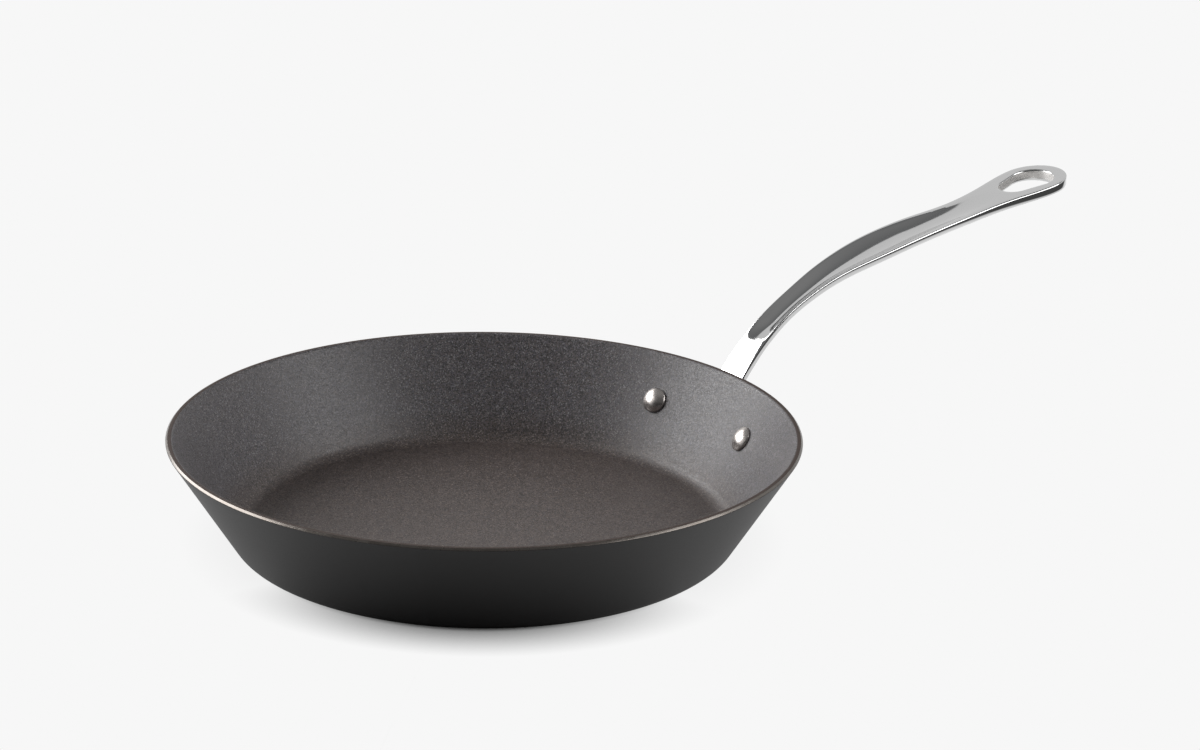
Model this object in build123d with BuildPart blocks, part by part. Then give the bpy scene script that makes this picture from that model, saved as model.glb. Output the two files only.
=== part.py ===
from build123d import *
import os
from math import atan2, cos, pi, sin

# An omelette pan: a spun aluminium body, a cast steel handle and the two rivets that hold it.
# The origin is at the middle of the base, +Z is up and the handle points along +X.

# Pan body
rim_radius = 130.5
base_radius = 102.5
pan_height = 45
wall_thickness = 2.8
floor_thickness = 3
base_corner = 8
floor_corner = 8
rim_round = 0.7

# Rivets: a domed head inside the pan, a low formed tail outside the flange
rivet_height = 26.8
rivet_angle = 30
head_diameter = 11
head_edge = 0.6
head_dome = 2.4
shank_diameter = 5
tail_diameter = 9
tail_edge = 0.5
tail_dome = 1.2

# Handle: a flange on the wall, an arm that rises from the rim, and an eye to hang it by
handle_reach = 192.5
handle_rise = 64
root_width = 15
neck_width = 13.8
grip_width = 24.2
waist_width = 20.8
eye_width = 30.8
neck_thickness = 5.3
neck_side = 4.6
grip_thickness = 6.4
grip_side = 3
eye_thickness = 5.8
eye_side = 4.6
edge_chamfer = 0.8
flange_thickness = 3.6
flange_chamfer = 0.8
lobe_radius = 10
shoulder_radius = 7.6
shoulder_drop = 11
root_drop = 22

# Hollow along the top of the arm, and the hole in the eye
hollow_depth = 2.4
hollow_overrun = 0.8
hole_far_radius = 10
hole_near_radius = 7.5
hole_pitch = 10.6
eye_rim = 6.4

# Clearances, and how far a cut runs past what it cuts
wall_gap = 0.1
seat_gap = 0.05
rivet_gap = 0.1
rivet_bite = 0.5
overrun = 5
section_overrun = 1

# Where the arm's top line passes, as shares of the reach and the rise from the rim to the tip
line_reach_shares = (0.039, 0.0805, 0.1325, 0.195, 0.257, 0.361, 0.465, 0.569, 0.673, 0.777, 0.88)
line_rise_shares = (0.134, 0.253, 0.37, 0.475, 0.561, 0.659, 0.73, 0.783, 0.825, 0.881, 0.9375)
tip_slope_share = 0.52

# Where its sides pass: how far they have opened from the neck's width to the grip's
side_reach_shares = (0.101, 0.179, 0.226, 0.309, 0.387, 0.465, 0.569)
side_flare_shares = (0.0, 0.04, 0.18, 0.54, 0.89, 1.0, 0.9)
waist_share = 0.699
cheek_reach_share = 0.803
cheek_flare_share = 0.37

# The arm's sections along its top line: how far each has gone from neck to grip, or eye to grip
section_shares = (0, 0.1, 0.2, 0.3, 0.4, 0.5, 0.6, 0.68, 0.76, 0.84, 0.92, 1)
section_fullness_shares = (0, 0, 0.05, 0.25, 0.7, 1, 1, 0.8, 0.2, 0, 0, 0)

# The hollow: where it starts and ends along the line, how much of its length its round nose and
# its fading end take, and its width as a share of the arm's
hollow_start_share = 0.163
hollow_end_share = 0.735
hollow_nose_share = 0.1
hollow_fade_share = 0.5
hollow_width_share = 0.82
hollow_sections = 24

wall_slope = atan2(pan_height, rim_radius - base_radius)
up_wall = Vector(cos(wall_slope), 0, sin(wall_slope))
out_of_wall = Vector(sin(wall_slope), 0, -cos(wall_slope))
wall_length = pan_height / sin(wall_slope)


def beside_wall(along, stand_off=0):
    """The point this far up the wall's outer side, moved out from it by stand_off."""
    return Vector(base_radius, 0, 0) + up_wall * along + out_of_wall * stand_off


def wall_band(near, far, drop=0):
    """A cone shell that follows the wall, from near to far outside it, ending drop below the rim."""
    ends = ((-overrun, near), (-overrun, far), (wall_length - drop, far), (wall_length - drop, near))
    corners = [beside_wall(along, stand_off) for along, stand_off in ends]
    with BuildPart() as band:
        with BuildSketch(Plane.XZ):
            with BuildLine():
                Polyline(*[(corner.X, corner.Z) for corner in corners], close=True)
            make_face()
        revolve(axis=Axis.Z)
    return band.part


# The rivets sit on the inner wall, one at each side of the handle, square to the wall.
rivet_along = (rivet_height - wall_thickness * cos(wall_slope)) / sin(wall_slope)
rivet_seat = beside_wall(rivet_along, -wall_thickness)
flange_far = wall_gap + flange_thickness
shank_length = wall_thickness + flange_far


def rivet_plane(side):
    """The plane on the inner wall at one rivet, facing into the pan."""
    turn = side * rivet_angle / 2
    inward = (out_of_wall * -1).rotate(Axis.Z, turn)
    across = Vector(0, 1, 0).rotate(Axis.Z, turn)
    return Plane(origin=rivet_seat.rotate(Axis.Z, turn), x_dir=across, z_dir=inward)


rivet_planes = {"rivet_left": rivet_plane(1), "rivet_right": rivet_plane(-1)}


with BuildPart() as pan_body:
    with BuildSketch(Plane.XZ):
        with BuildLine():
            rim_wall = wall_thickness / sin(wall_slope)
            floor_flare = floor_thickness * cos(wall_slope) / sin(wall_slope)
            Polyline(
                (0, 0),
                (base_radius, 0),
                (rim_radius, pan_height),
                (rim_radius - rim_wall, pan_height),
                (base_radius + floor_flare - rim_wall, floor_thickness),
                (0, floor_thickness),
                close=True,
            )
        make_face()
    revolve(axis=Axis.Z)
    rings = pan_body.edges().filter_by(GeomType.CIRCLE)
    fillet(rings.filter_by_position(Axis.Z, 0, 0), radius=base_corner)
    rings = pan_body.edges().filter_by(GeomType.CIRCLE)
    fillet(rings.filter_by_position(Axis.Z, floor_thickness, floor_thickness), radius=floor_corner)
    fillet(pan_body.edges().group_by(Axis.Z)[-1], radius=rim_round)
    with Locations(*[Location(plane) for plane in rivet_planes.values()]):
        Cylinder(shank_diameter / 2 + rivet_gap, 2 * (wall_thickness + overrun), mode=Mode.SUBTRACT)

pan_body.part.label = "pan_body"


# The arm's side view, drawn flat with Y up. Its top line starts along the wall, clears the
# rim and flattens out towards the eye.
with BuildLine() as arm_top:
    root = beside_wall(wall_length - root_drop, wall_gap)
    knots = [
        (rim_radius + reach * handle_reach, pan_height + rise * handle_rise)
        for reach, rise in zip(line_reach_shares, line_rise_shares)
    ]
    tip = (rim_radius + handle_reach, pan_height + handle_rise)
    tip_slope = (handle_reach, handle_rise * tip_slope_share)
    Spline((root.X, root.Z), *knots, tip, tangents=[(up_wall.X, up_wall.Z), tip_slope])
top_edge = arm_top.edges()[0]


def flared(share):
    """Half the arm's width: the neck's, and this share of the way from there to the grip's."""
    return (neck_width + (grip_width - neck_width) * share) / 2


eye_length = eye_rim + hole_far_radius
eye_middle = rim_radius + handle_reach - eye_length

# The arm's side from above, from the rim to the widest part of the eye
with BuildLine() as arm_side:
    sides = [
        (rim_radius + reach * handle_reach, flared(share))
        for reach, share in zip(side_reach_shares, side_flare_shares)
    ]
    sides.append((rim_radius + waist_share * handle_reach, waist_width / 2))
    cheek = waist_width + (eye_width - waist_width) * cheek_flare_share
    sides.append((rim_radius + cheek_reach_share * handle_reach, cheek / 2))
    sides.append((eye_middle, eye_width / 2))
    Spline((rim_radius, root_width / 2), *sides, tangents=[(1, 0), (1, 0)])
side_edge = arm_side.edges()[0]


def half_width(reach):
    """Half the arm's width at this X, found on its side line."""
    near, far = 0, 1
    while far - near > 1 / 4096:
        middle = (near + far) / 2
        near, far = (middle, far) if side_edge.position_at(middle).X < reach else (near, middle)
    return side_edge.position_at(near).Y


def across_arm(share):
    """The plane square to the arm's top line at this share of it, and half the arm's width there."""
    middle, along = top_edge.position_at(share), top_edge.tangent_at(share)
    plane = Plane(origin=(middle.X, 0, middle.Y), x_dir=(0, 1, 0), z_dir=(along.X, 0, along.Y))
    return plane, half_width(middle.X)


def arm_section(share, fullness):
    """One section of the arm, a little wider than it: flat on top, and round below like a belly."""
    plane, half = across_arm(share)
    ends = (neck_thickness, neck_side) if share < 0.5 else (eye_thickness, eye_side)
    thickness = ends[0] + (grip_thickness - ends[0]) * fullness
    drop = thickness - ends[1] - (grip_side - ends[1]) * fullness
    radius = (half ** 2 + drop ** 2) / (2 * drop)
    reach = half + section_overrun
    edge = radius - (radius ** 2 - reach ** 2) ** 0.5 - thickness
    with BuildSketch(plane) as section:
        with BuildLine():
            ThreePointArc((-reach, edge), (0, -thickness), (reach, edge))
            Polyline((reach, edge), (reach, 0), (-reach, 0), (-reach, edge))
        make_face()
    return section.sketch.face()


def hollow_section(step):
    """One section across the hollow: an arc below the arm's top line, closed above it."""
    share = (step + 0.5) / hollow_sections
    plane, half = across_arm(hollow_start_share + (hollow_end_share - hollow_start_share) * share)
    before_nose = max(0, 1 - share / hollow_nose_share)
    nose = (1 - before_nose ** 2) ** 0.5
    past_fade = max(0, (share - hollow_fade_share) / (1 - hollow_fade_share))
    fade = cos(past_fade * pi / 2)
    half, depth = half * hollow_width_share * nose * fade ** 0.5, hollow_depth * nose * fade
    radius = (half ** 2 + depth ** 2) / (2 * depth)
    above = hollow_overrun * fade
    reach = (radius ** 2 - (radius - depth - above) ** 2) ** 0.5
    with BuildSketch(plane) as section:
        with BuildLine():
            ThreePointArc((-reach, above), (0, -depth), (reach, above))
            Line((-reach, above), (reach, above))
        make_face()
    return section.sketch.face()


with BuildPart() as hollow:
    loft(sections=[hollow_section(step) for step in range(hollow_sections)], ruled=True)

# The flange's outline, drawn on the plane that touches the wall behind the handle
flange_plane = Plane(origin=beside_wall(rivet_along), x_dir=(0, 1, 0), z_dir=out_of_wall)
with BuildPart() as flange:
    with BuildSketch(flange_plane):
        lobes = [flange_plane.to_local_coords(plane.origin) for plane in rivet_planes.values()]
        with Locations(*[(lobe.X, lobe.Y) for lobe in lobes]):
            Circle(lobe_radius)
        with Locations((0, wall_length - shoulder_drop - rivet_along)):
            Circle(shoulder_radius)
        make_hull()
    extrude(amount=lobe_radius + shank_length, both=True)
    add(wall_band(wall_gap, flange_far), mode=Mode.INTERSECT)
    outer_face = flange.faces().filter_by(GeomType.CONE).sort_by(SortBy.AREA)[-1]
    chamfer(outer_face.edges(), length=flange_chamfer)

with BuildPart() as handle:
    # The arm in its true section, a little too wide all along
    table = zip(section_shares, section_fullness_shares)
    loft(sections=[arm_section(*shares) for shares in table])
    # Top view of the arm and eye
    with BuildSketch():
        with BuildLine():
            heel = root.X - overrun * 2
            Line((heel, 0), (heel, root_width / 2))
            Line((heel, root_width / 2), (rim_radius, root_width / 2))
            add(side_edge)
            EllipticalCenterArc(
                (eye_middle, 0), eye_length, eye_width / 2, start_angle=0, arc_size=90
            )
            mirror(about=Plane.XZ)
        make_face()
    extrude(amount=pan_height + 2 * handle_rise, mode=Mode.INTERSECT)
    under_face = handle.faces().sort_by(SortBy.AREA)[-2:].sort_by(Axis.Z)[0]
    chamfer(under_face.edges().sort_by(Axis.X)[1:], length=edge_chamfer)
    top_face = handle.faces().sort_by(SortBy.AREA)[-2:].sort_by(Axis.Z)[-1]
    chamfer(top_face.edges().sort_by(Axis.X)[1:], length=edge_chamfer)
    add(hollow.part, mode=Mode.SUBTRACT)
    # The hole in the eye: two rounds with straight sides between them
    with BuildSketch():
        with Locations((eye_middle, 0)):
            Circle(hole_far_radius)
        with Locations((eye_middle - hole_pitch, 0)):
            Circle(hole_near_radius)
        make_hull()
    extrude(amount=pan_height + 2 * handle_rise, mode=Mode.SUBTRACT)
    # The flange: a plate along the wall, spread from the arm's shoulder to a lobe at each rivet
    add(flange.part)
    add(wall_band(-overrun, wall_gap), mode=Mode.SUBTRACT)
    with Locations(*[Location(plane) for plane in rivet_planes.values()]):
        Cylinder(shank_diameter / 2 + rivet_gap, 2 * (shank_length + overrun), mode=Mode.SUBTRACT)

handle.part.label = "handle"
os.makedirs("parts", exist_ok=True)
export_step(pan_body.part, "parts/pan_body.step")
export_step(handle.part, "parts/handle.step")


def make_rivet(plane):
    """One rivet: a domed head on the inner wall, a shank, and a low tail formed on the flange."""
    side_view = Plane(origin=plane.origin, x_dir=plane.x_dir, z_dir=plane.x_dir.cross(plane.z_dir))
    head, tail = head_diameter / 2, tail_diameter / 2
    head_top, tail_foot = head_edge + head_dome, -shank_length - tail_edge
    tail_end, tail_top = tail_foot - tail_dome, rivet_bite - shank_length
    with BuildPart() as rivet:
        # Head and tail, each cut to lie on the cone that it holds
        with BuildSketch(side_view):
            with BuildLine():
                TangentArc((0, head_top), (head, head_edge), tangent=(1, 0))
                Polyline((head, head_edge), (head, -rivet_bite), (0, -rivet_bite), (0, head_top))
            make_face()
            with BuildLine():
                TangentArc((0, tail_end), (tail, tail_foot), tangent=(1, 0))
                Polyline((tail, tail_foot), (tail, tail_top), (0, tail_top), (0, tail_end))
            make_face()
        revolve(axis=Axis(plane.origin, plane.z_dir))
        add(wall_band(-wall_thickness - seat_gap, flange_far + seat_gap), mode=Mode.SUBTRACT)
        # Shank, from inside the head to inside the tail
        with BuildSketch(plane.offset(head_edge)):
            Circle(shank_diameter / 2)
        extrude(amount=tail_foot - head_edge)
    return rivet.part


for name, plane in rivet_planes.items():
    rivet = make_rivet(plane)
    rivet.label = name
    export_step(rivet, f"parts/{name}.step")
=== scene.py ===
from math import asin, atan2, ceil, cos, pi, radians, sin

import bpy
import numpy as np
from mathutils import Matrix, Vector
from mathutils.geometry import delaunay_2d_cdt


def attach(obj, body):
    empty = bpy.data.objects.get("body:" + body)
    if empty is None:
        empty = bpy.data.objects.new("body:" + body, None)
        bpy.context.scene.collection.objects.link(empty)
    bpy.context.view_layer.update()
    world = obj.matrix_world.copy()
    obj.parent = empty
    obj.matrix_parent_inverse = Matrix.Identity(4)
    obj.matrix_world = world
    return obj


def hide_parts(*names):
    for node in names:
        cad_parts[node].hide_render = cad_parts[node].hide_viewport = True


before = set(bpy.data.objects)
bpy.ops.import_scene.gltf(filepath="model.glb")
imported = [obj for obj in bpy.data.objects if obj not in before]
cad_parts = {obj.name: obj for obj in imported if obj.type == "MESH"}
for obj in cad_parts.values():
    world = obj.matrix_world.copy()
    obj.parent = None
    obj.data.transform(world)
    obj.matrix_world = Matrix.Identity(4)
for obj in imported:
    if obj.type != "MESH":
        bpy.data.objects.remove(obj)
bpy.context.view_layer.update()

# Pan body
# One disc of aluminium, spun to a flat floor and a straight flared wall, then hard anodised.
# The inside has a sprayed non-stick coating, and the rim's outer edge is bevelled on a lathe.
mm = 0.001
rim_radius = 130.5 * mm
pan_height = 45 * mm
base_radius = 102.5 * mm
wall_thickness = 2.8 * mm
floor_thickness = 3 * mm
base_corner = 8 * mm
floor_corner = 8 * mm
rim_bevel = 0.9 * mm
rim_round = 0.4 * mm
rim_inner_round = 1.5 * mm
primer_start = 0.15 * mm
primer_full = 0.03 * mm
turn_steps = 288
corner_step = radians(6)

wall_slope = atan2(pan_height, rim_radius - base_radius)
wall_length = pan_height / sin(wall_slope)


def rounded(corners):
    """The points of a line with its corners rounded: each corner is x, y and radius."""
    points = []
    for number, (x, y, radius) in enumerate(corners):
        corner = np.array((x, y))
        if radius == 0:
            points.append(corner)
            continue
        back = np.array(corners[number - 1][:2]) - corner
        ahead = np.array(corners[number + 1][:2]) - corner
        back, ahead = back / np.linalg.norm(back), ahead / np.linalg.norm(ahead)
        half = np.arccos(np.clip(back @ ahead, -1, 1)) / 2
        middle = corner + (back + ahead) / np.linalg.norm(back + ahead) * radius / sin(half)
        start = corner + back * radius / np.tan(half) - middle
        sweep = pi - 2 * half
        if start[0] * ahead[1] - start[1] * ahead[0] < 0:
            sweep = -sweep
        steps = ceil(abs(sweep) / corner_step)
        for step in range(steps + 1):
            turn = sweep * step / steps
            spin = np.array(((cos(turn), -sin(turn)), (sin(turn), cos(turn))))
            points.append(middle + spin @ start)
    return points


def new_piece(name, points, faces, finishes, finish_of_face):
    """Makes a smooth mesh object, with one finish number for each face."""
    mesh = bpy.data.meshes.new(name)
    mesh.from_pydata([tuple(point) for point in points], [], faces)
    for finish in finishes:
        mesh.materials.append(finish)
    mesh.polygons.foreach_set("material_index", finish_of_face)
    mesh.polygons.foreach_set("use_smooth", [True] * len(mesh.polygons))
    mesh.validate()
    piece = bpy.data.objects.new(name, mesh)
    bpy.context.collection.objects.link(piece)
    return piece


def turned(name, bands, finishes, steps):
    """Turns a line of points, in bands that each have a finish, about Z. Its ends are on Z."""
    line = [bands[0][0]] + [point for band in bands for point in band[1:]]
    finish_of_gap = [number for number, band in enumerate(bands) for _ in band[1:]]
    points = [(0, 0, line[0][1])]
    for radius, height in line[1:-1]:
        for step in range(steps):
            turn = 2 * pi * step / steps
            points.append((radius * cos(turn), radius * sin(turn), height))
    points.append((0, 0, line[-1][1]))
    faces, finish_of_face = [], []
    for gap, finish in enumerate(finish_of_gap):
        for step in range(steps):
            after = (step + 1) % steps
            near, far = 1 + (gap - 1) * steps, 1 + gap * steps
            if gap == 0:
                faces.append((0, far + after, far + step))
            elif gap == len(finish_of_gap) - 1:
                faces.append((near + step, near + after, len(points) - 1))
            else:
                faces.append((near + step, near + after, far + after, far + step))
            finish_of_face.append(finish)
    return new_piece(name, points, faces, finishes, finish_of_face)


def colour(code):
    """An sRGB hex colour as the linear colour that a node takes."""
    shares = [int(code[place:place + 2], 16) / 255 for place in (1, 3, 5)]
    return [s / 12.92 if s <= 0.04045 else ((s + 0.055) / 1.055) ** 2.4 for s in shares] + [1]


def add_node(tree, kind, inputs=None, **settings):
    """Adds a node to a tree. An input is given a value, or the output that it is linked to."""
    made = tree.nodes.new(kind)
    for name, value in settings.items():
        setattr(made, name, value)
    for socket, value in (inputs or {}).items():
        if isinstance(value, bpy.types.NodeSocket):
            tree.links.new(value, made.inputs[socket])
        else:
            made.inputs[socket].default_value = value
    return made


def new_finish(name):
    """A material with an empty tree, and that tree."""
    finish = bpy.data.materials.new(name)
    finish.use_nodes = True
    finish.node_tree.nodes.clear()
    return finish, finish.node_tree


# Hard-anodised aluminium, blasted before it is dipped: dark grey, satin, with a fine even grain
# that breaks up the highlights. The grain is drawn coarser than a real one, or it would not show.
blast_grain = 0.5 * mm
grain_height = 0.03 * mm
grain_strength = 0.12
anodised_roughness = (0.42, 0.55)
anodised_ior = 1.42
anodised_tone = "#222121"
anodised_dark_tone = "#181717"
anodised, tree = new_finish("hard_anodised_aluminium")
place = add_node(tree, "ShaderNodeTexCoord").outputs["Object"]
grain = add_node(tree, "ShaderNodeTexNoise", {
    "Vector": place, "Scale": 1 / blast_grain, "Detail": 2,
})
tone = add_node(tree, "ShaderNodeMix", {
    0: grain.outputs["Fac"], 6: colour(anodised_dark_tone), 7: colour(anodised_tone),
}, data_type="RGBA")
gloss = add_node(tree, "ShaderNodeMapRange", {
    "Value": grain.outputs["Fac"],
    "To Min": anodised_roughness[0], "To Max": anodised_roughness[1],
})
relief = add_node(tree, "ShaderNodeBump", {
    "Height": grain.outputs["Fac"], "Strength": grain_strength, "Distance": grain_height,
})
shader = add_node(tree, "ShaderNodeBsdfPrincipled", {
    "Base Color": tone.outputs[2], "Roughness": gloss.outputs[0], "Normal": relief.outputs[0],
    "IOR": anodised_ior,
})
add_node(tree, "ShaderNodeOutputMaterial", {"Surface": shader.outputs[0]})

# Sprayed non-stick coating, reinforced with mineral flakes: warm grey, satin, with a fine
# speckle that sparkles where a light is reflected. It is browner on the floor, and where it
# thins out at the top of the rim the brown primer shows. The flakes are drawn about twice as
# coarse as real ones, or they would not show.
flake_size = 0.42 * mm
flake_height = 0.05 * mm
flake_strength = 0.7
bright_flake_share = 0.85
tint_start = 16 * mm
tint_full = 4 * mm
coating_roughness = (0.34, 0.62)
primer_roughness = 0.75
coating_ior = 1.5
coating_dark_tone = "#2f2d2d"
coating_warm_tone = "#6a625e"
coating_cool_tone = "#5f5f68"
flake_tone = "#8f8b8e"
floor_tint = "#eaddd1"
primer_tone = "#34261f"
coating, tree = new_finish("flaked_non_stick_coating")
place = add_node(tree, "ShaderNodeTexCoord").outputs["Object"]
height = add_node(tree, "ShaderNodeSeparateXYZ", {0: place}).outputs["Z"]
flakes = add_node(tree, "ShaderNodeTexVoronoi", {"Vector": place, "Scale": 1 / flake_size})
flake_share = add_node(tree, "ShaderNodeSeparateColor", {0: flakes.outputs["Color"]})
light_tone = add_node(tree, "ShaderNodeMix", {
    0: flake_share.outputs[1], 6: colour(coating_warm_tone), 7: colour(coating_cool_tone),
}, data_type="RGBA")
tone = add_node(tree, "ShaderNodeMix", {
    0: flake_share.outputs[0], 6: colour(coating_dark_tone), 7: light_tone.outputs[2],
}, data_type="RGBA")
bright = add_node(tree, "ShaderNodeMapRange", {
    "Value": flake_share.outputs[2], "From Min": bright_flake_share,
})
tone = add_node(tree, "ShaderNodeMix", {
    0: bright.outputs[0], 6: tone.outputs[2], 7: colour(flake_tone),
}, data_type="RGBA")
on_floor = add_node(tree, "ShaderNodeMapRange", {
    "Value": height, "From Min": tint_start, "From Max": tint_full,
})
tone = add_node(tree, "ShaderNodeMix", {
    0: on_floor.outputs[0], 6: tone.outputs[2], 7: colour(floor_tint),
}, data_type="RGBA", blend_type="MULTIPLY")
on_rim = add_node(tree, "ShaderNodeMapRange", {
    "Value": height, "From Min": pan_height - primer_start,
    "From Max": pan_height - primer_full,
})
tone = add_node(tree, "ShaderNodeMix", {
    0: on_rim.outputs[0], 6: tone.outputs[2], 7: colour(primer_tone),
}, data_type="RGBA")
gloss = add_node(tree, "ShaderNodeMapRange", {
    "Value": flake_share.outputs[2],
    "To Min": coating_roughness[0], "To Max": coating_roughness[1],
})
gloss = add_node(tree, "ShaderNodeMix", {
    0: on_rim.outputs[0], 2: gloss.outputs[0], 3: primer_roughness,
}, data_type="FLOAT")
relief = add_node(tree, "ShaderNodeBump", {
    "Height": flake_share.outputs[0], "Strength": flake_strength, "Distance": flake_height,
})
shader = add_node(tree, "ShaderNodeBsdfPrincipled", {
    "Base Color": tone.outputs[2], "Roughness": gloss.outputs[0], "Normal": relief.outputs[0],
    "IOR": coating_ior,
})
add_node(tree, "ShaderNodeOutputMaterial", {"Surface": shader.outputs[0]})

# Turned aluminium under a thin film of the coating: glossier than the wall, so that the bevel
# draws a thin bright line where it faces a light, and a dull one elsewhere.
edge_tone = "#74706c"
edge_dark_tone = "#534b45"
wear_size = 6 * mm
edge_roughness = (0.22, 0.32)
edge_metal_share = 0.8
rim_edge, tree = new_finish("turned_aluminium_edge")
place = add_node(tree, "ShaderNodeTexCoord").outputs["Object"]
wear = add_node(tree, "ShaderNodeTexNoise", {
    "Vector": place, "Scale": 1 / wear_size, "Detail": 3,
})
gloss = add_node(tree, "ShaderNodeMapRange", {
    "Value": wear.outputs["Fac"], "To Min": edge_roughness[0], "To Max": edge_roughness[1],
})
tone = add_node(tree, "ShaderNodeMix", {
    0: wear.outputs["Fac"], 6: colour(edge_dark_tone), 7: colour(edge_tone),
}, data_type="RGBA")
shader = add_node(tree, "ShaderNodeBsdfPrincipled", {
    "Base Color": tone.outputs[2], "Metallic": edge_metal_share, "Roughness": gloss.outputs[0],
})
add_node(tree, "ShaderNodeOutputMaterial", {"Surface": shader.outputs[0]})

# Outline of half the pan, from the middle of its base over the rim to the middle of its floor
lean = cos(wall_slope) / sin(wall_slope)
rim_wall = wall_thickness / sin(wall_slope)
bevel_foot = rim_radius - rim_bevel * lean
outline = rounded((
    (0, 0, 0),
    (base_radius, 0, base_corner),
    (bevel_foot, pan_height - rim_bevel, rim_round),
    (bevel_foot - rim_bevel, pan_height, rim_round),
    (rim_radius - rim_wall, pan_height, rim_inner_round),
    (base_radius + floor_thickness * lean - rim_wall, floor_thickness, floor_corner),
    (0, floor_thickness, 0),
))
on_bevel = [
    number for number, (radius, height) in enumerate(outline)
    if radius > bevel_foot - rim_bevel and height > pan_height - rim_bevel
]
outside = outline[:on_bevel[0] + 1]
over_bevel = outline[on_bevel[0]:on_bevel[-1] + 1]
inside = outline[on_bevel[-1]:]


def divided(points, longest):
    """The same line with more points on its long stretches."""
    line = [points[0]]
    for start, end in zip(points, points[1:]):
        pieces = ceil(np.linalg.norm(end - start) / longest)
        line += [start + (end - start) * step / pieces for step in range(1, pieces + 1)]
    return line


longest_step = 4 * mm
bands = [divided(band, longest_step) for band in (outside, over_bevel, inside)]
pan = turned("pan_bowl", bands, (anodised, rim_edge, coating), turn_steps)
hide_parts("pan_body")
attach(pan, "root")

# Handle
# One casting in stainless steel, ground and polished: a flange that follows the wall, an arm
# with a hollow along its top, and an eye to hang it by. Its hole is left as it was ground.
rivet_height = 26.8 * mm
rivet_turn = radians(15)
wall_gap = 0.1 * mm
flange_thickness = 3.6 * mm
lobe_radius = 10 * mm
neck_corner = 47 * mm
neck_fillet = 9 * mm
root_drop = 22 * mm
handle_reach = 192.5 * mm
handle_rise = 63.9 * mm
root_width = 15 * mm
neck_width = 13.8 * mm
grip_width = 24.2 * mm
waist_width = 20.8 * mm
eye_width = 30.8 * mm
neck_thickness = 5.3 * mm
neck_side = 1.4 * mm
grip_thickness = 6.4 * mm
grip_side = 1.2 * mm
eye_thickness = 5.8 * mm
eye_side = 4.6 * mm
edge_round = 0.6 * mm
under_round = 1.8 * mm
under_round_share = 0.4
flange_edge_share = 0.3
flange_fillet = 4 * mm
unbend_length = 8 * mm
upright_from = 70 * mm
upright_to = 20 * mm
hollow_depth = 2.4 * mm
hole_far_radius = 10 * mm
hole_near_radius = 7.5 * mm
hole_pitch = 10.6 * mm
eye_rim = 6.4 * mm
line_reach_shares = (
    0.039, 0.0805, 0.1325, 0.195, 0.257, 0.361, 0.465, 0.569, 0.673, 0.777, 0.88,
)
line_rise_shares = (
    0.134, 0.253, 0.37, 0.475, 0.561, 0.659, 0.73, 0.783, 0.825, 0.881, 0.9375,
)
tip_slope_share = 0.52
side_reach_shares = (0.101, 0.179, 0.226, 0.309, 0.387, 0.465, 0.569)
side_flare_shares = (0.0, 0.04, 0.18, 0.54, 0.89, 1.0, 0.9)
waist_share = 0.699
cheek_reach_share = 0.803
cheek_flare_share = 0.37
section_shares = (0, 0.1, 0.2, 0.3, 0.4, 0.5, 0.6, 0.68, 0.76, 0.84, 0.92, 1)
section_fullness_shares = (0, 0, 0.05, 0.25, 0.7, 1, 1, 0.95, 0.75, 0.4, 0.1, 0)
hollow_start_share = 0.162
hollow_end_share = 0.84
hollow_nose_share = 0.05
hollow_fade_share = 0.62
hollow_close_share = 0.15
hollow_width_share = 0.88
hollow_narrow_share = 0.22
hollow_narrow_from_share = 0.5
eye_section_from_share = 0.5
eye_section_to_share = 0.8
mesh_step = 1.2 * mm
edge_step = 0.8 * mm
edge_degrees = (0, 20, 40, 60, 80)
least_dish_half = 0.12 * mm
hole_slack = 0.06 * mm
least_gap_in_mm = 1e-5
line_points = 600
lobe_points = 40
end_points = 60
hole_near_points = 24
hole_far_points = 40
lip_points = 160

up_wall = np.array((cos(wall_slope), sin(wall_slope)))
out_of_wall = np.array((sin(wall_slope), -cos(wall_slope)))


def beside_wall(along, stand_off=0):
    """The point this far up the wall's outer side in side view, moved out by stand_off."""
    return np.array((base_radius, 0)) + up_wall * along + out_of_wall * stand_off


def smooth_line(knots, start_way, end_way):
    """Points on a smooth curve through the knots that leaves and arrives in the ways given."""
    knots = np.array(knots)
    gaps = np.linalg.norm(np.diff(knots, axis=0), axis=1)
    count = len(knots)
    rows, sums = np.zeros((count, count)), np.zeros((count, 2))
    rows[0, 0] = rows[-1, -1] = 1
    sums[0] = np.array(start_way) / np.linalg.norm(start_way)
    sums[-1] = np.array(end_way) / np.linalg.norm(end_way)
    for n in range(1, count - 1):
        before, after = gaps[n - 1], gaps[n]
        rows[n, n - 1:n + 2] = after, 2 * (before + after), before
        sums[n] = 3 * (after * (knots[n] - knots[n - 1]) / before
                       + before * (knots[n + 1] - knots[n]) / after)
    ways = np.linalg.solve(rows, sums)
    line = []
    ends = np.concatenate(((0,), np.cumsum(gaps)))
    for length in np.linspace(0, ends[-1], line_points):
        n = min(int(np.searchsorted(ends, length, side="right")) - 1, count - 2)
        gap = gaps[n]
        u = (length - ends[n]) / gap
        line.append(
            (2 * u ** 3 - 3 * u ** 2 + 1) * knots[n] + (u ** 3 - 2 * u ** 2 + u) * gap * ways[n]
            + (3 * u ** 2 - 2 * u ** 3) * knots[n + 1] + (u ** 3 - u ** 2) * gap * ways[n + 1]
        )
    return np.array(line)


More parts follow.
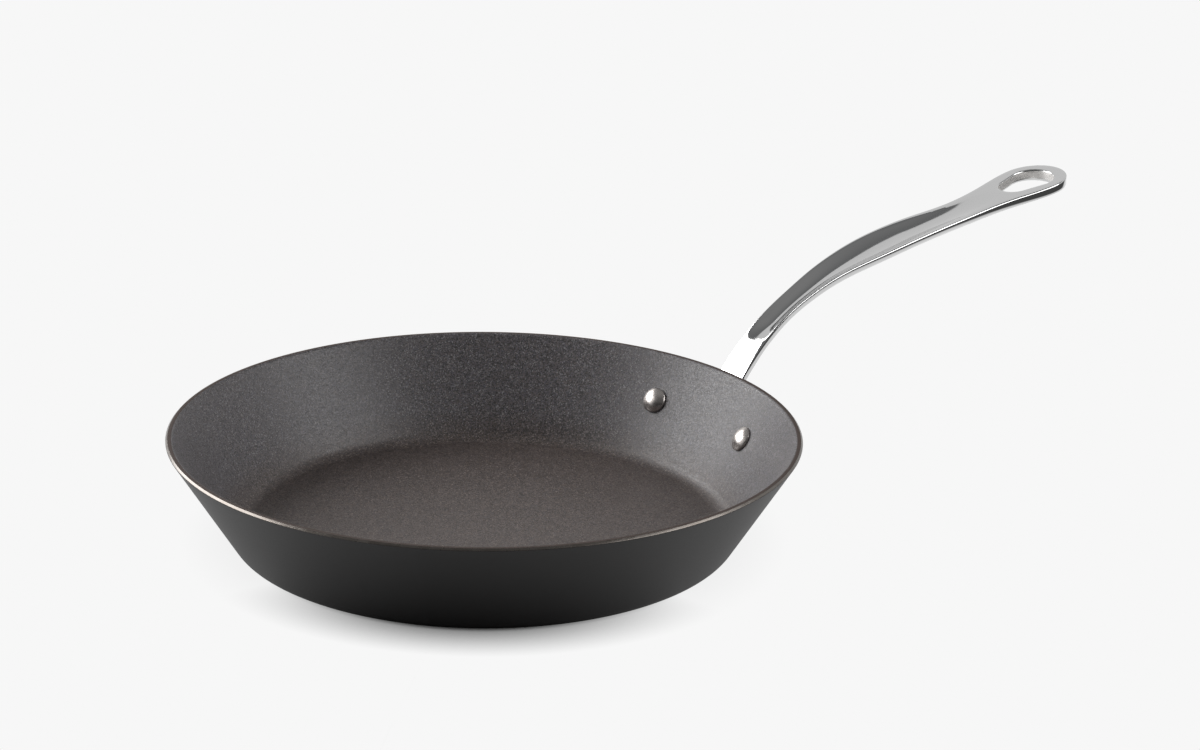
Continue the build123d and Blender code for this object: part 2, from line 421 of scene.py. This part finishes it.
# The arm's top line in side view. Distances along it, from the foot of the wall, are its measure.
root_along = wall_length - root_drop
root = beside_wall(root_along, wall_gap)
knots = [root] + [
    (rim_radius + reach * handle_reach, pan_height + rise * handle_rise)
    for reach, rise in zip(line_reach_shares, line_rise_shares)
] + [(rim_radius + handle_reach, pan_height + handle_rise)]
top_line = smooth_line(knots, up_wall, (handle_reach, handle_rise * tip_slope_share))
top_along = root_along + np.concatenate(
    ((0,), np.cumsum(np.linalg.norm(np.diff(top_line, axis=0), axis=1)))
)
top_ways = np.gradient(top_line, top_along, axis=0)
tip_along = top_along[-1]

# Half the arm's width against its reach, up to the widest part of the eye
eye_length = eye_rim + hole_far_radius
eye_middle = rim_radius + handle_reach - eye_length


def flared(share):
    """Half the arm's width: the neck's, and this share of the way from there to the grip's."""
    return (neck_width + (grip_width - neck_width) * share) / 2


sides = [(rim_radius, root_width / 2)] + [
    (rim_radius + reach * handle_reach, flared(share))
    for reach, share in zip(side_reach_shares, side_flare_shares)
] + [
    (rim_radius + waist_share * handle_reach, waist_width / 2),
    (rim_radius + cheek_reach_share * handle_reach,
     (waist_width + (eye_width - waist_width) * cheek_flare_share) / 2),
    (eye_middle, eye_width / 2),
]
side_line = smooth_line(sides, (1, 0), (1, 0))


def along_at(reach):
    """How far along the top line this reach from the pan's middle is."""
    return np.interp(reach, top_line[:, 0], top_along)


def half_width(along):
    """Half the arm's width at this distance along it."""
    return np.interp(np.interp(along, top_along, top_line[:, 0]), side_line[:, 0], side_line[:, 1])


def smooth_step(value, start, end):
    """0 before start, 1 after end, and a smooth rise between them."""
    share = np.clip((value - start) / (end - start), 0, 1)
    return share * share * (3 - 2 * share)


# Half the outline laid flat: the flange's lower edge, a lobe round the rivet, a fillet into the
# neck, the arm's side and the round end of the eye.
rivet_along = (rivet_height - wall_thickness * cos(wall_slope)) / sin(wall_slope)
rivet_ring = beside_wall(rivet_along, -wall_thickness)[0]
lobe_side = rivet_ring * sin(rivet_turn)
lobe_along = rivet_along - rivet_ring * (1 - cos(rivet_turn)) * cos(wall_slope)
to_lobe = np.array((lobe_along - neck_corner, lobe_side - root_width / 2))
edge_turn = atan2(to_lobe[1], to_lobe[0]) - asin(lobe_radius / np.linalg.norm(to_lobe))
lobe_turns = np.linspace(pi, edge_turn - pi / 2, lobe_points)
lobe = [
    (lobe_along + lobe_radius * cos(turn), lobe_side + lobe_radius * sin(turn))
    for turn in lobe_turns
]
neck = rounded((
    (*lobe[-1], 0), (neck_corner, root_width / 2, neck_fillet), (wall_length, root_width / 2, 0),
))
arm = [(along_at(reach), side) for reach, side in side_line[1:]]
end = [
    (along_at(eye_middle + eye_length * cos(turn)), eye_width / 2 * sin(turn))
    for turn in np.linspace(pi / 2, 0, end_points)[1:]
]
half_outline = np.array([(lobe[0][0], 0), *lobe, *neck[1:], *arm, *end])
hole_turn = asin((hole_far_radius - hole_near_radius) / hole_pitch)
hole_near = eye_middle - hole_pitch
half_hole = np.array([
    (along_at(hole_near + hole_near_radius * cos(turn)), hole_near_radius * sin(turn))
    for turn in np.linspace(pi, pi / 2 + hole_turn, hole_near_points)
] + [
    (along_at(eye_middle + hole_far_radius * cos(turn)), hole_far_radius * sin(turn))
    for turn in np.linspace(pi / 2 + hole_turn, 0, hole_far_points)
])


def hollow_shape(along):
    """Half the hollow's width and its depth at this distance along the arm."""
    share = (along - root_along) / (tip_along - root_along)
    share = (share - hollow_start_share) / (hollow_end_share - hollow_start_share)
    share = np.clip(share, 0, 1)
    nose = np.sqrt(1 - np.clip(1 - share / hollow_nose_share, 0, 1) ** 2)
    close = np.sqrt(1 - np.clip(1 - (1 - share) / hollow_close_share, 0, 1) ** 2)
    fade = 1 - smooth_step(share, hollow_fade_share, 1)
    narrow_share = hollow_narrow_share * smooth_step(share, hollow_narrow_from_share, 1)
    deep = smooth_step(share, 0, 2 * hollow_nose_share) * fade
    half = half_width(along) * (hollow_width_share - narrow_share) * nose * close
    return half, hollow_depth * deep


def even_loop(half, step):
    """The closed line of a half outline and its mirror image, with points a step apart."""
    loop = np.concatenate((half, half[-2:0:-1] * (1, -1)))
    closed = np.concatenate((loop, loop[:1]))
    length = np.concatenate(((0,), np.cumsum(np.linalg.norm(np.diff(closed, axis=0), axis=1))))
    places = np.linspace(0, length[-1], ceil(length[-1] / step) + 1)[:-1]
    return np.stack([np.interp(places, length, closed[:, axis]) for axis in (0, 1)], axis=1)


def moved_in(loop, distance):
    """The loop moved sideways, to the right of its way round."""
    ways = np.roll(loop, -1, axis=0) - np.roll(loop, 1, axis=0)
    ways /= np.linalg.norm(ways, axis=1)[:, None]
    return loop + np.stack((ways[:, 1], -ways[:, 0]), axis=1) * distance


def within(points, loop):
    """For each point, whether it lies inside the loop."""
    x, y = points[:, 0][:, None], points[:, 1][:, None]
    start, end = loop, np.roll(loop, -1, axis=0)
    crosses = (start[:, 1] > y) != (end[:, 1] > y)
    rise = np.where(end[:, 1] == start[:, 1], 1, end[:, 1] - start[:, 1])
    at = start[:, 0] + (y - start[:, 1]) / rise * (end[:, 0] - start[:, 0])
    return np.sum(crosses & (x < at), axis=1) % 2 == 1


# Loops that step in from each edge by a quarter circle, so that the edge can be rounded
outer_loop = even_loop(half_outline, edge_step)
hole_loop = even_loop(half_hole, edge_step)
loops = []
for turn in np.radians(edge_degrees):
    step_in = edge_round * (1 - cos(turn))
    loops += [moved_in(outer_loop, step_in), moved_in(hole_loop, -step_in)]

# The lip of the hollow, and rows of points over the rest
hollow_start = root_along + hollow_start_share * (tip_along - root_along)
hollow_end = root_along + hollow_end_share * (tip_along - root_along)
lip_shares = (1 - np.cos(np.linspace(0, pi, lip_points))) / 2
lip_places = hollow_start + (hollow_end - hollow_start) * lip_shares
lip_half = np.stack((lip_places, hollow_shape(lip_places)[0]), axis=1)
loops.append(even_loop(lip_half, mesh_step))
rows = []
for along in np.arange(half_outline[0][0], tip_along, mesh_step):
    widest = outer_loop[np.abs(outer_loop[:, 0] - along) < mesh_step][:, 1].max()
    count = ceil(widest / mesh_step)
    rows += [(along, widest * side / count) for side in range(-count, count + 1)]
rows = np.array(rows)
clear = within(rows, moved_in(outer_loop, edge_round + mesh_step / 2))
clear &= ~within(rows, moved_in(hole_loop, -edge_round - mesh_step / 2))
from_lip = np.linalg.norm(rows[:, None] - loops[-1][None], axis=2).min(axis=1)
rows = rows[clear & (from_lip > mesh_step / 2)]
edges, start = [], 0
for loop in loops:
    edges += [(start + n, start + (n + 1) % len(loop)) for n in range(len(loop))]
    start += len(loop)
flat_points = np.concatenate((*loops, rows))
flat = delaunay_2d_cdt(
    [Vector(point) for point in flat_points / mm], edges, [], 0, least_gap_in_mm
)
places = np.array([tuple(point) for point in flat[0]]) * mm
middles = places[np.array(flat[2])].mean(axis=1)
kept = within(middles, outer_loop) & ~within(middles, hole_loop)
flat_faces = [face for face, keep in zip(flat[2], kept) if keep]


def arm_sections(along, side):
    """The casting's thickness at its edge and here: the flange's, then the arm's."""
    share = (along - root_along) / (tip_along - root_along)
    full = np.interp(share, section_shares, section_fullness_shares)
    late = smooth_step(share, eye_section_from_share, eye_section_to_share)
    middle = neck_thickness + (eye_thickness - neck_thickness) * late
    edge = neck_side + (eye_side - neck_side) * late
    middle += (grip_thickness - middle) * full
    edge += (grip_side - edge) * full
    across = np.clip(np.abs(side) / half_width(along), 0, 1)
    arm = edge + (middle - edge) * np.sqrt(1 - across ** 2)
    neck_edge = root_width / 2
    on_arm = 1 - smooth_step(
        np.abs(side), neck_edge - flange_fillet / 4, neck_edge + flange_fillet
    )
    on_arm *= smooth_step(along, root_along - flange_fillet, root_along + 2 * flange_fillet)
    on_arm = np.where(along > wall_length, 1, on_arm)
    return (
        flange_thickness + (edge - flange_thickness) * on_arm,
        flange_thickness + (arm - flange_thickness) * on_arm,
    )


def placed(along, side, lift):
    """Points of the casting: this far along it, to the side, and above its top face."""
    reach = np.interp(along, top_along, top_line[:, 0])
    height = np.interp(along, top_along, top_line[:, 1])
    way = np.stack([np.interp(along, top_along, top_ways[:, axis]) for axis in (0, 1)], axis=1)
    way /= np.linalg.norm(way, axis=1)[:, None]
    below = np.minimum(along - root_along, 0)
    reach, height = reach + below * up_wall[0], height + below * up_wall[1]
    # Where it lies on the wall, the flat shape bends round the wall's cone.
    bend = cos(2 * wall_slope) / sin(wall_slope) ** 2
    fall = 2 * reach / sin(wall_slope)
    bent = (np.sqrt(fall ** 2 + 4 * bend * side ** 2) - fall) / (2 * bend)
    lift = lift + bent * (1 - smooth_step(along, wall_length, wall_length + unbend_length))
    # The eye's sides stand upright, and the arm's stand square to its top.
    eye_along = along_at(eye_middle)
    upright = smooth_step(along, eye_along - upright_from, eye_along - upright_to)
    back = way[:, 1] * (1 - upright)
    up = way[:, 0] + (1 - way[:, 0]) * upright
    return np.stack((reach - back * lift, side, height + up * lift), axis=1)


def edge_drop(from_edge, radius):
    """How far an edge with this round falls away at this distance from it."""
    short = np.clip(radius - from_edge, 0, None)
    return radius - np.sqrt(radius ** 2 - short ** 2)


along, side = places[:, 0], places[:, 1]
dish_half, dish_depth = hollow_shape(along)
dish = dish_depth * np.clip(1 - (side / np.maximum(dish_half, least_dish_half)) ** 2, 0, None)
edge_points = np.concatenate((outer_loop, hole_loop))
from_edge = np.linalg.norm(places[:, None] - edge_points[None], axis=2).min(axis=1)
on_arm = smooth_step(along, wall_length - flange_fillet, wall_length)
edge_share = flange_edge_share + (1 - flange_edge_share) * on_arm
side_height, thickness = arm_sections(along, side)
under_radius = np.minimum(under_round, side_height * under_round_share)
top_points = placed(along, side, -dish - edge_drop(from_edge, edge_round) * edge_share)
under_points = placed(along, side, edge_drop(from_edge, under_radius) - thickness)
count = len(places)
faces = [tuple(face) for face in flat_faces]
faces += [tuple(n + count for n in reversed(face)) for face in flat_faces]
finish_of_face = [0] * len(faces)
edge_uses = {(a, b) for face in flat_faces for a, b in zip(face, [*face[1:], face[0]])}
in_hole = within(places, moved_in(hole_loop, -hole_slack))
for a, b in sorted(edge_uses):
    if (b, a) not in edge_uses:
        faces.append((b, a, a + count, b + count))
        finish_of_face.append(int(in_hole[a] and in_hole[b]))

# Cast stainless steel, ground and then polished by hand: a bright grey mirror, a little wavy,
# with faint lines along its length that soften what it reflects. The lines are drawn coarser
# than real ones, which are too fine to show.
polish_line = 0.25 * mm
polish_line_length = 30 * mm
polish_line_height = 0.01 * mm
polish_line_strength = 0.05
wave_length = 22 * mm
wave_height = 0.12 * mm
polished_roughness = (0.07, 0.11)
polished_tone = "#cccccc"
polished, tree = new_finish("polished_stainless_steel")
place = add_node(tree, "ShaderNodeTexCoord").outputs["Object"]
stretched = add_node(tree, "ShaderNodeMapping", {
    "Vector": place, "Scale": (1 / polish_line_length, 1 / polish_line, 1 / polish_line),
})
lines = add_node(tree, "ShaderNodeTexNoise", {
    "Vector": stretched.outputs[0], "Scale": 1, "Detail": 2,
})
waves = add_node(tree, "ShaderNodeTexNoise", {
    "Vector": place, "Scale": 1 / wave_length, "Detail": 0,
})
gloss = add_node(tree, "ShaderNodeMapRange", {
    "Value": lines.outputs["Fac"],
    "To Min": polished_roughness[0], "To Max": polished_roughness[1],
})
relief = add_node(tree, "ShaderNodeBump", {
    "Height": waves.outputs["Fac"], "Strength": 1, "Distance": wave_height,
})
relief = add_node(tree, "ShaderNodeBump", {
    "Height": lines.outputs["Fac"], "Strength": polish_line_strength,
    "Distance": polish_line_height, "Normal": relief.outputs[0],
})
shader = add_node(tree, "ShaderNodeBsdfPrincipled", {
    "Base Color": colour(polished_tone), "Metallic": 1, "Roughness": gloss.outputs[0],
    "Normal": relief.outputs[0],
})
add_node(tree, "ShaderNodeOutputMaterial", {"Surface": shader.outputs[0]})

# The wall of the hole is ground and not polished: an even mid grey, with the grit's scratches.
# They too are drawn coarser than real ones.
grit = 0.3 * mm
grit_height = 0.01 * mm
grit_strength = 0.03
ground_roughness = (0.42, 0.5)
ground_tone = "#dddbd9"
ground, tree = new_finish("ground_stainless_steel")
place = add_node(tree, "ShaderNodeTexCoord").outputs["Object"]
scratches = add_node(tree, "ShaderNodeTexNoise", {
    "Vector": place, "Scale": 1 / grit, "Detail": 2,
})
gloss = add_node(tree, "ShaderNodeMapRange", {
    "Value": scratches.outputs["Fac"],
    "To Min": ground_roughness[0], "To Max": ground_roughness[1],
})
relief = add_node(tree, "ShaderNodeBump", {
    "Height": scratches.outputs["Fac"], "Strength": grit_strength, "Distance": grit_height,
})
shader = add_node(tree, "ShaderNodeBsdfPrincipled", {
    "Base Color": colour(ground_tone), "Metallic": 1, "Roughness": gloss.outputs[0],
    "Normal": relief.outputs[0],
})
add_node(tree, "ShaderNodeOutputMaterial", {"Surface": shader.outputs[0]})

handle_points = np.concatenate((top_points, under_points))
handle = new_piece("cast_handle", handle_points, faces, (polished, ground), finish_of_face)
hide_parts("handle")
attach(handle, "root")

# Rivets
# Two stainless steel rivets, pushed through wall and flange from inside. Each has a domed head
# in the pan, and a low tail that was pressed out on the flange.
head_radius = 5.5 * mm
head_edge = 0.9 * mm
head_dome = 2.1 * mm
shank_radius = 2.5 * mm
tail_radius = 4.5 * mm
tail_edge = 0.5 * mm
tail_dome = 1.2 * mm
rivet_bite = 0.5 * mm
rivet_steps = 64
dome_points = 14
shank_length = wall_thickness + wall_gap + flange_thickness


def dome(radius, height, foot):
    """Points over a dome from its top down to its rim, in side view."""
    ball = (radius ** 2 + height ** 2) / (2 * height)
    open_turn = asin(radius / ball)
    return [
        np.array((ball * sin(turn), foot + height - ball * (1 - cos(turn))))
        for turn in np.linspace(0, open_turn, dome_points)
    ]


# Stainless steel, tumbled after it is headed: a satin metal with soft, uneven highlights.
tumble_mark = 0.6 * mm
tumble_height = 0.02 * mm
tumble_strength = 0.1
satin_roughness = (0.22, 0.34)
satin_tone = "#c5bfbb"
satin, tree = new_finish("satin_stainless_steel")
place = add_node(tree, "ShaderNodeTexCoord").outputs["Object"]
tumbled = add_node(tree, "ShaderNodeTexNoise", {
    "Vector": place, "Scale": 1 / tumble_mark, "Detail": 3,
})
gloss = add_node(tree, "ShaderNodeMapRange", {
    "Value": tumbled.outputs["Fac"], "To Min": satin_roughness[0], "To Max": satin_roughness[1],
})
relief = add_node(tree, "ShaderNodeBump", {
    "Height": tumbled.outputs["Fac"], "Strength": tumble_strength, "Distance": tumble_height,
})
shader = add_node(tree, "ShaderNodeBsdfPrincipled", {
    "Base Color": colour(satin_tone), "Metallic": 1, "Roughness": gloss.outputs[0],
    "Normal": relief.outputs[0],
})
add_node(tree, "ShaderNodeOutputMaterial", {"Surface": shader.outputs[0]})

head = dome(head_radius, head_dome, head_edge)
tail = [point * (1, -1) - (0, shank_length) for point in dome(tail_radius, tail_dome, tail_edge)]
outline = [
    *head, np.array((head_radius, -rivet_bite)), np.array((shank_radius, -rivet_bite)),
    np.array((shank_radius, rivet_bite - shank_length)),
    np.array((tail_radius, rivet_bite - shank_length)), *reversed(tail),
]
seat = beside_wall(rivet_along, -wall_thickness)
stand = Matrix.Translation((seat[0], 0, seat[1])) @ Matrix.Rotation(-wall_slope, 4, "Y")
for name, turn in (("rivet_left", rivet_turn), ("rivet_right", -rivet_turn)):
    rivet = turned(name + "_pressed", [list(reversed(outline))], (satin,), rivet_steps)
    rivet.data.transform(Matrix.Rotation(turn, 4, "Z") @ stand)
    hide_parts(name)
    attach(rivet, "root")

# Floor, light and camera
# A white studio floor, which the camera sees darken only where the pan stands close over it,
# a soft box at each side of the pan, and a long lens, well back from it.
floor_half = 12
floor_gap = 0.2 * mm
floor_tone = "#f7f7f7"
paper_tone = "#a0a0a0"
shadow_tone = "#080808"
shadow_reach = 20 * mm
shadow_reach_in_metal = 60 * mm
shadow_power = 1.3
shadow_way = (-0.63, -0.777, 0)
shadow_side_share = 0.6
shadow_least = 0.1
shadow_most = 1.06
shadow_in_metal = 0.5
# Painted shade: the tone, way and distances at which reflections see the floor painted darker.
falloff_shade_tone = "#505050"
falloff_shade_way = (0.31, -0.95, 0)
falloff_shade_start = 180 * mm
falloff_shade_end = 280 * mm
floor_finish, tree = new_finish("white_studio_floor")
point = add_node(tree, "ShaderNodeNewGeometry")
rays = add_node(tree, "ShaderNodeLightPath")
# How much of the view up from each point the pan blocks gives a soft shadow, deepest on the
# camera's side. The camera sees a narrow one, and reflections a wider and deeper one.
reach = add_node(tree, "ShaderNodeMapRange", {
    "Value": rays.outputs["Is Glossy Ray"],
    "To Min": shadow_reach, "To Max": shadow_reach_in_metal,
})
closeness = add_node(tree, "ShaderNodeAmbientOcclusion", {
    "Distance": reach.outputs[0],
}, samples=12)
blocked = add_node(tree, "ShaderNodeMath", {
    0: 1, 1: closeness.outputs["AO"],
}, operation="SUBTRACT")
blocked = add_node(tree, "ShaderNodeMath", {
    0: blocked.outputs[0], 1: shadow_power,
}, operation="POWER")
outwards = add_node(tree, "ShaderNodeVectorMath", {
    0: point.outputs["Position"],
}, operation="NORMALIZE")
outwards = add_node(tree, "ShaderNodeVectorMath", {
    0: outwards.outputs["Vector"], 1: shadow_way,
}, operation="DOT_PRODUCT")
strength = add_node(tree, "ShaderNodeMapRange", {
    "Value": outwards.outputs["Value"], "From Min": shadow_side_share,
    "To Min": shadow_least, "To Max": shadow_most,
})
strength = add_node(tree, "ShaderNodeMath", {
    0: rays.outputs["Is Glossy Ray"], 1: shadow_in_metal, 2: strength.outputs[0],
}, operation="MULTIPLY_ADD")
shadow = add_node(tree, "ShaderNodeMath", {
    0: blocked.outputs[0], 1: strength.outputs[0],
}, operation="MULTIPLY", use_clamp=True)
# Reflections see the floor painted darker far out at the right of the camera: painted shade, as if
# less light fell there.
beyond = add_node(tree, "ShaderNodeVectorMath", {
    0: point.outputs["Position"], 1: falloff_shade_way,
}, operation="DOT_PRODUCT")
beyond = add_node(tree, "ShaderNodeMapRange", {
    "Value": beyond.outputs["Value"], "From Min": falloff_shade_start, "From Max": falloff_shade_end,
}, interpolation_type="SMOOTHSTEP")
falloff_shade = add_node(tree, "ShaderNodeMath", {
    0: beyond.outputs[0], 1: rays.outputs["Is Glossy Ray"],
}, operation="MULTIPLY")
plain = add_node(tree, "ShaderNodeMix", {
    0: falloff_shade.outputs[0], 6: colour(floor_tone), 7: colour(falloff_shade_tone),
}, data_type="RGBA")
white = add_node(tree, "ShaderNodeMix", {
    0: shadow.outputs[0], 6: plain.outputs[2], 7: colour(shadow_tone),
}, data_type="RGBA")
glow = add_node(tree, "ShaderNodeEmission", {"Color": white.outputs[2], "Strength": 1})
paper = add_node(tree, "ShaderNodeBsdfDiffuse", {"Color": colour(paper_tone)})
seen = add_node(tree, "ShaderNodeMath", {
    0: rays.outputs["Is Camera Ray"], 1: rays.outputs["Is Glossy Ray"],
}, operation="ADD")
seen = add_node(tree, "ShaderNodeMath", {
    0: seen.outputs[0], 1: rays.outputs["Is Transmission Ray"],
}, operation="ADD", use_clamp=True)
lit = add_node(tree, "ShaderNodeMixShader", {
    0: seen.outputs[0], 1: paper.outputs[0], 2: glow.outputs[0],
})
clear_back = add_node(tree, "ShaderNodeBsdfTransparent")
both = add_node(tree, "ShaderNodeMixShader", {
    0: point.outputs["Backfacing"], 1: lit.outputs[0], 2: clear_back.outputs[0],
})
add_node(tree, "ShaderNodeOutputMaterial", {"Surface": both.outputs[0]})
corners = [
    (x * floor_half, y * floor_half, -floor_gap) for x, y in ((-1, -1), (1, -1), (1, 1), (-1, 1))
]
floor = new_piece("studio_floor", corners, [(0, 1, 2, 3)], (floor_finish,), [0])

camera_back = 1155.8623 * mm
camera_height = 463.0296 * mm
camera_bearing = radians(35)
camera_yaw = 0.0402083142
camera_pitch = 0.328476404
camera_roll = 0.0188042302
lens_length = 90
sensor_width = 36
camera = bpy.data.objects.new("camera", bpy.data.cameras.new("camera"))
camera.data.lens = lens_length
camera.data.sensor_width = sensor_width
camera.location = (
    -camera_back * sin(camera_bearing), -camera_back * cos(camera_bearing), camera_height
)
camera.rotation_euler = (
    Matrix.Rotation(-camera_yaw - camera_bearing, 4, "Z")
    @ Matrix.Rotation(pi / 2 - camera_pitch, 4, "X")
    @ Matrix.Rotation(camera_roll, 4, "Z")
).to_euler()
bpy.context.collection.objects.link(camera)
bpy.context.scene.camera = camera


def soft_box(name, bearing, elevation, distance, width, height, watts):
    """A soft box that faces the pan. Its bearing is to the right of the pan's far side."""
    turn = radians(90 - bearing) - camera_bearing
    lamp = bpy.data.lights.new(name, "AREA")
    lamp.shape = "RECTANGLE"
    lamp.size, lamp.size_y, lamp.energy = width, height, watts
    box = bpy.data.objects.new(name, lamp)
    rise = radians(elevation)
    box.location = (
        distance * cos(turn) * cos(rise), distance * sin(turn) * cos(rise), distance * sin(rise)
    )
    box.rotation_euler = box.location.to_track_quat("Z", "Y").to_euler()
    bpy.context.collection.objects.link(box)


soft_box("left_box", bearing=-65, elevation=30, distance=1.5, width=1.4, height=0.85, watts=28)
soft_box("right_box", bearing=106, elevation=34, distance=1.5, width=1.2, height=0.7, watts=12)

# The studio round the pan, as metal reflects it: a pale sweep to the left, right and far side, a
# grey ceiling that is lighter overhead, and behind the camera a room that is darkest low down.
# The pan's plain surfaces get a dim even light. Each share is of the full way up, or of the
# full way back behind the camera.
sweep_top_share = 0.67
ceiling_foot_share = 0.69
overhead_share = 0.7
behind_start_share = 0.3
behind_full_share = 0.6
room_dark_share = 0.3
room_light_share = 0.55
sweep_tone = "#e4e4e4"
ceiling_tone = "#707172"
zenith_tone = "#8e8e8e"
room_tone = "#303030"
room_high_tone = "#606060"
fill_tone = "#626262"
world = bpy.data.worlds.new("studio")
bpy.context.scene.world = world
world.use_nodes = True
tree = world.node_tree
tree.nodes.clear()
way = add_node(tree, "ShaderNodeTexCoord").outputs["Generated"]
height = add_node(tree, "ShaderNodeSeparateXYZ", {0: way}).outputs["Z"]
above = add_node(tree, "ShaderNodeMapRange", {
    "Value": height, "From Min": sweep_top_share, "From Max": ceiling_foot_share,
}, interpolation_type="SMOOTHSTEP")
overhead = add_node(tree, "ShaderNodeMapRange", {"Value": height, "From Min": overhead_share})
ceiling = add_node(tree, "ShaderNodeMix", {
    0: overhead.outputs[0], 6: colour(ceiling_tone), 7: colour(zenith_tone),
}, data_type="RGBA")
room = add_node(tree, "ShaderNodeMix", {
    0: above.outputs[0], 6: colour(sweep_tone), 7: ceiling.outputs[2],
}, data_type="RGBA")
behind = add_node(tree, "ShaderNodeVectorMath", {
    0: way, 1: (-sin(camera_bearing), -cos(camera_bearing), 0),
}, operation="DOT_PRODUCT")
behind = add_node(tree, "ShaderNodeMapRange", {
    "Value": behind.outputs["Value"], "From Min": behind_start_share,
    "From Max": behind_full_share,
}, interpolation_type="SMOOTHSTEP")
room_height = add_node(tree, "ShaderNodeMapRange", {
    "Value": height, "From Min": room_dark_share, "From Max": room_light_share,
}, interpolation_type="SMOOTHSTEP")
room_wall = add_node(tree, "ShaderNodeMix", {
    0: room_height.outputs[0], 6: colour(room_tone), 7: colour(room_high_tone),
}, data_type="RGBA")
room = add_node(tree, "ShaderNodeMix", {
    0: behind.outputs[0], 6: room.outputs[2], 7: room_wall.outputs[2],
}, data_type="RGBA")
rays = add_node(tree, "ShaderNodeLightPath")
shown = add_node(tree, "ShaderNodeMix", {
    0: rays.outputs["Is Camera Ray"], 6: colour(fill_tone), 7: colour(floor_tone),
}, data_type="RGBA")
shown = add_node(tree, "ShaderNodeMix", {
    0: rays.outputs["Is Glossy Ray"], 6: shown.outputs[2], 7: room.outputs[2],
}, data_type="RGBA")
sky = add_node(tree, "ShaderNodeBackground", {"Color": shown.outputs[2], "Strength": 1})
add_node(tree, "ShaderNodeOutputWorld", {"Surface": sky.outputs[0]})

bpy.context.scene.view_settings.view_transform = "Standard"
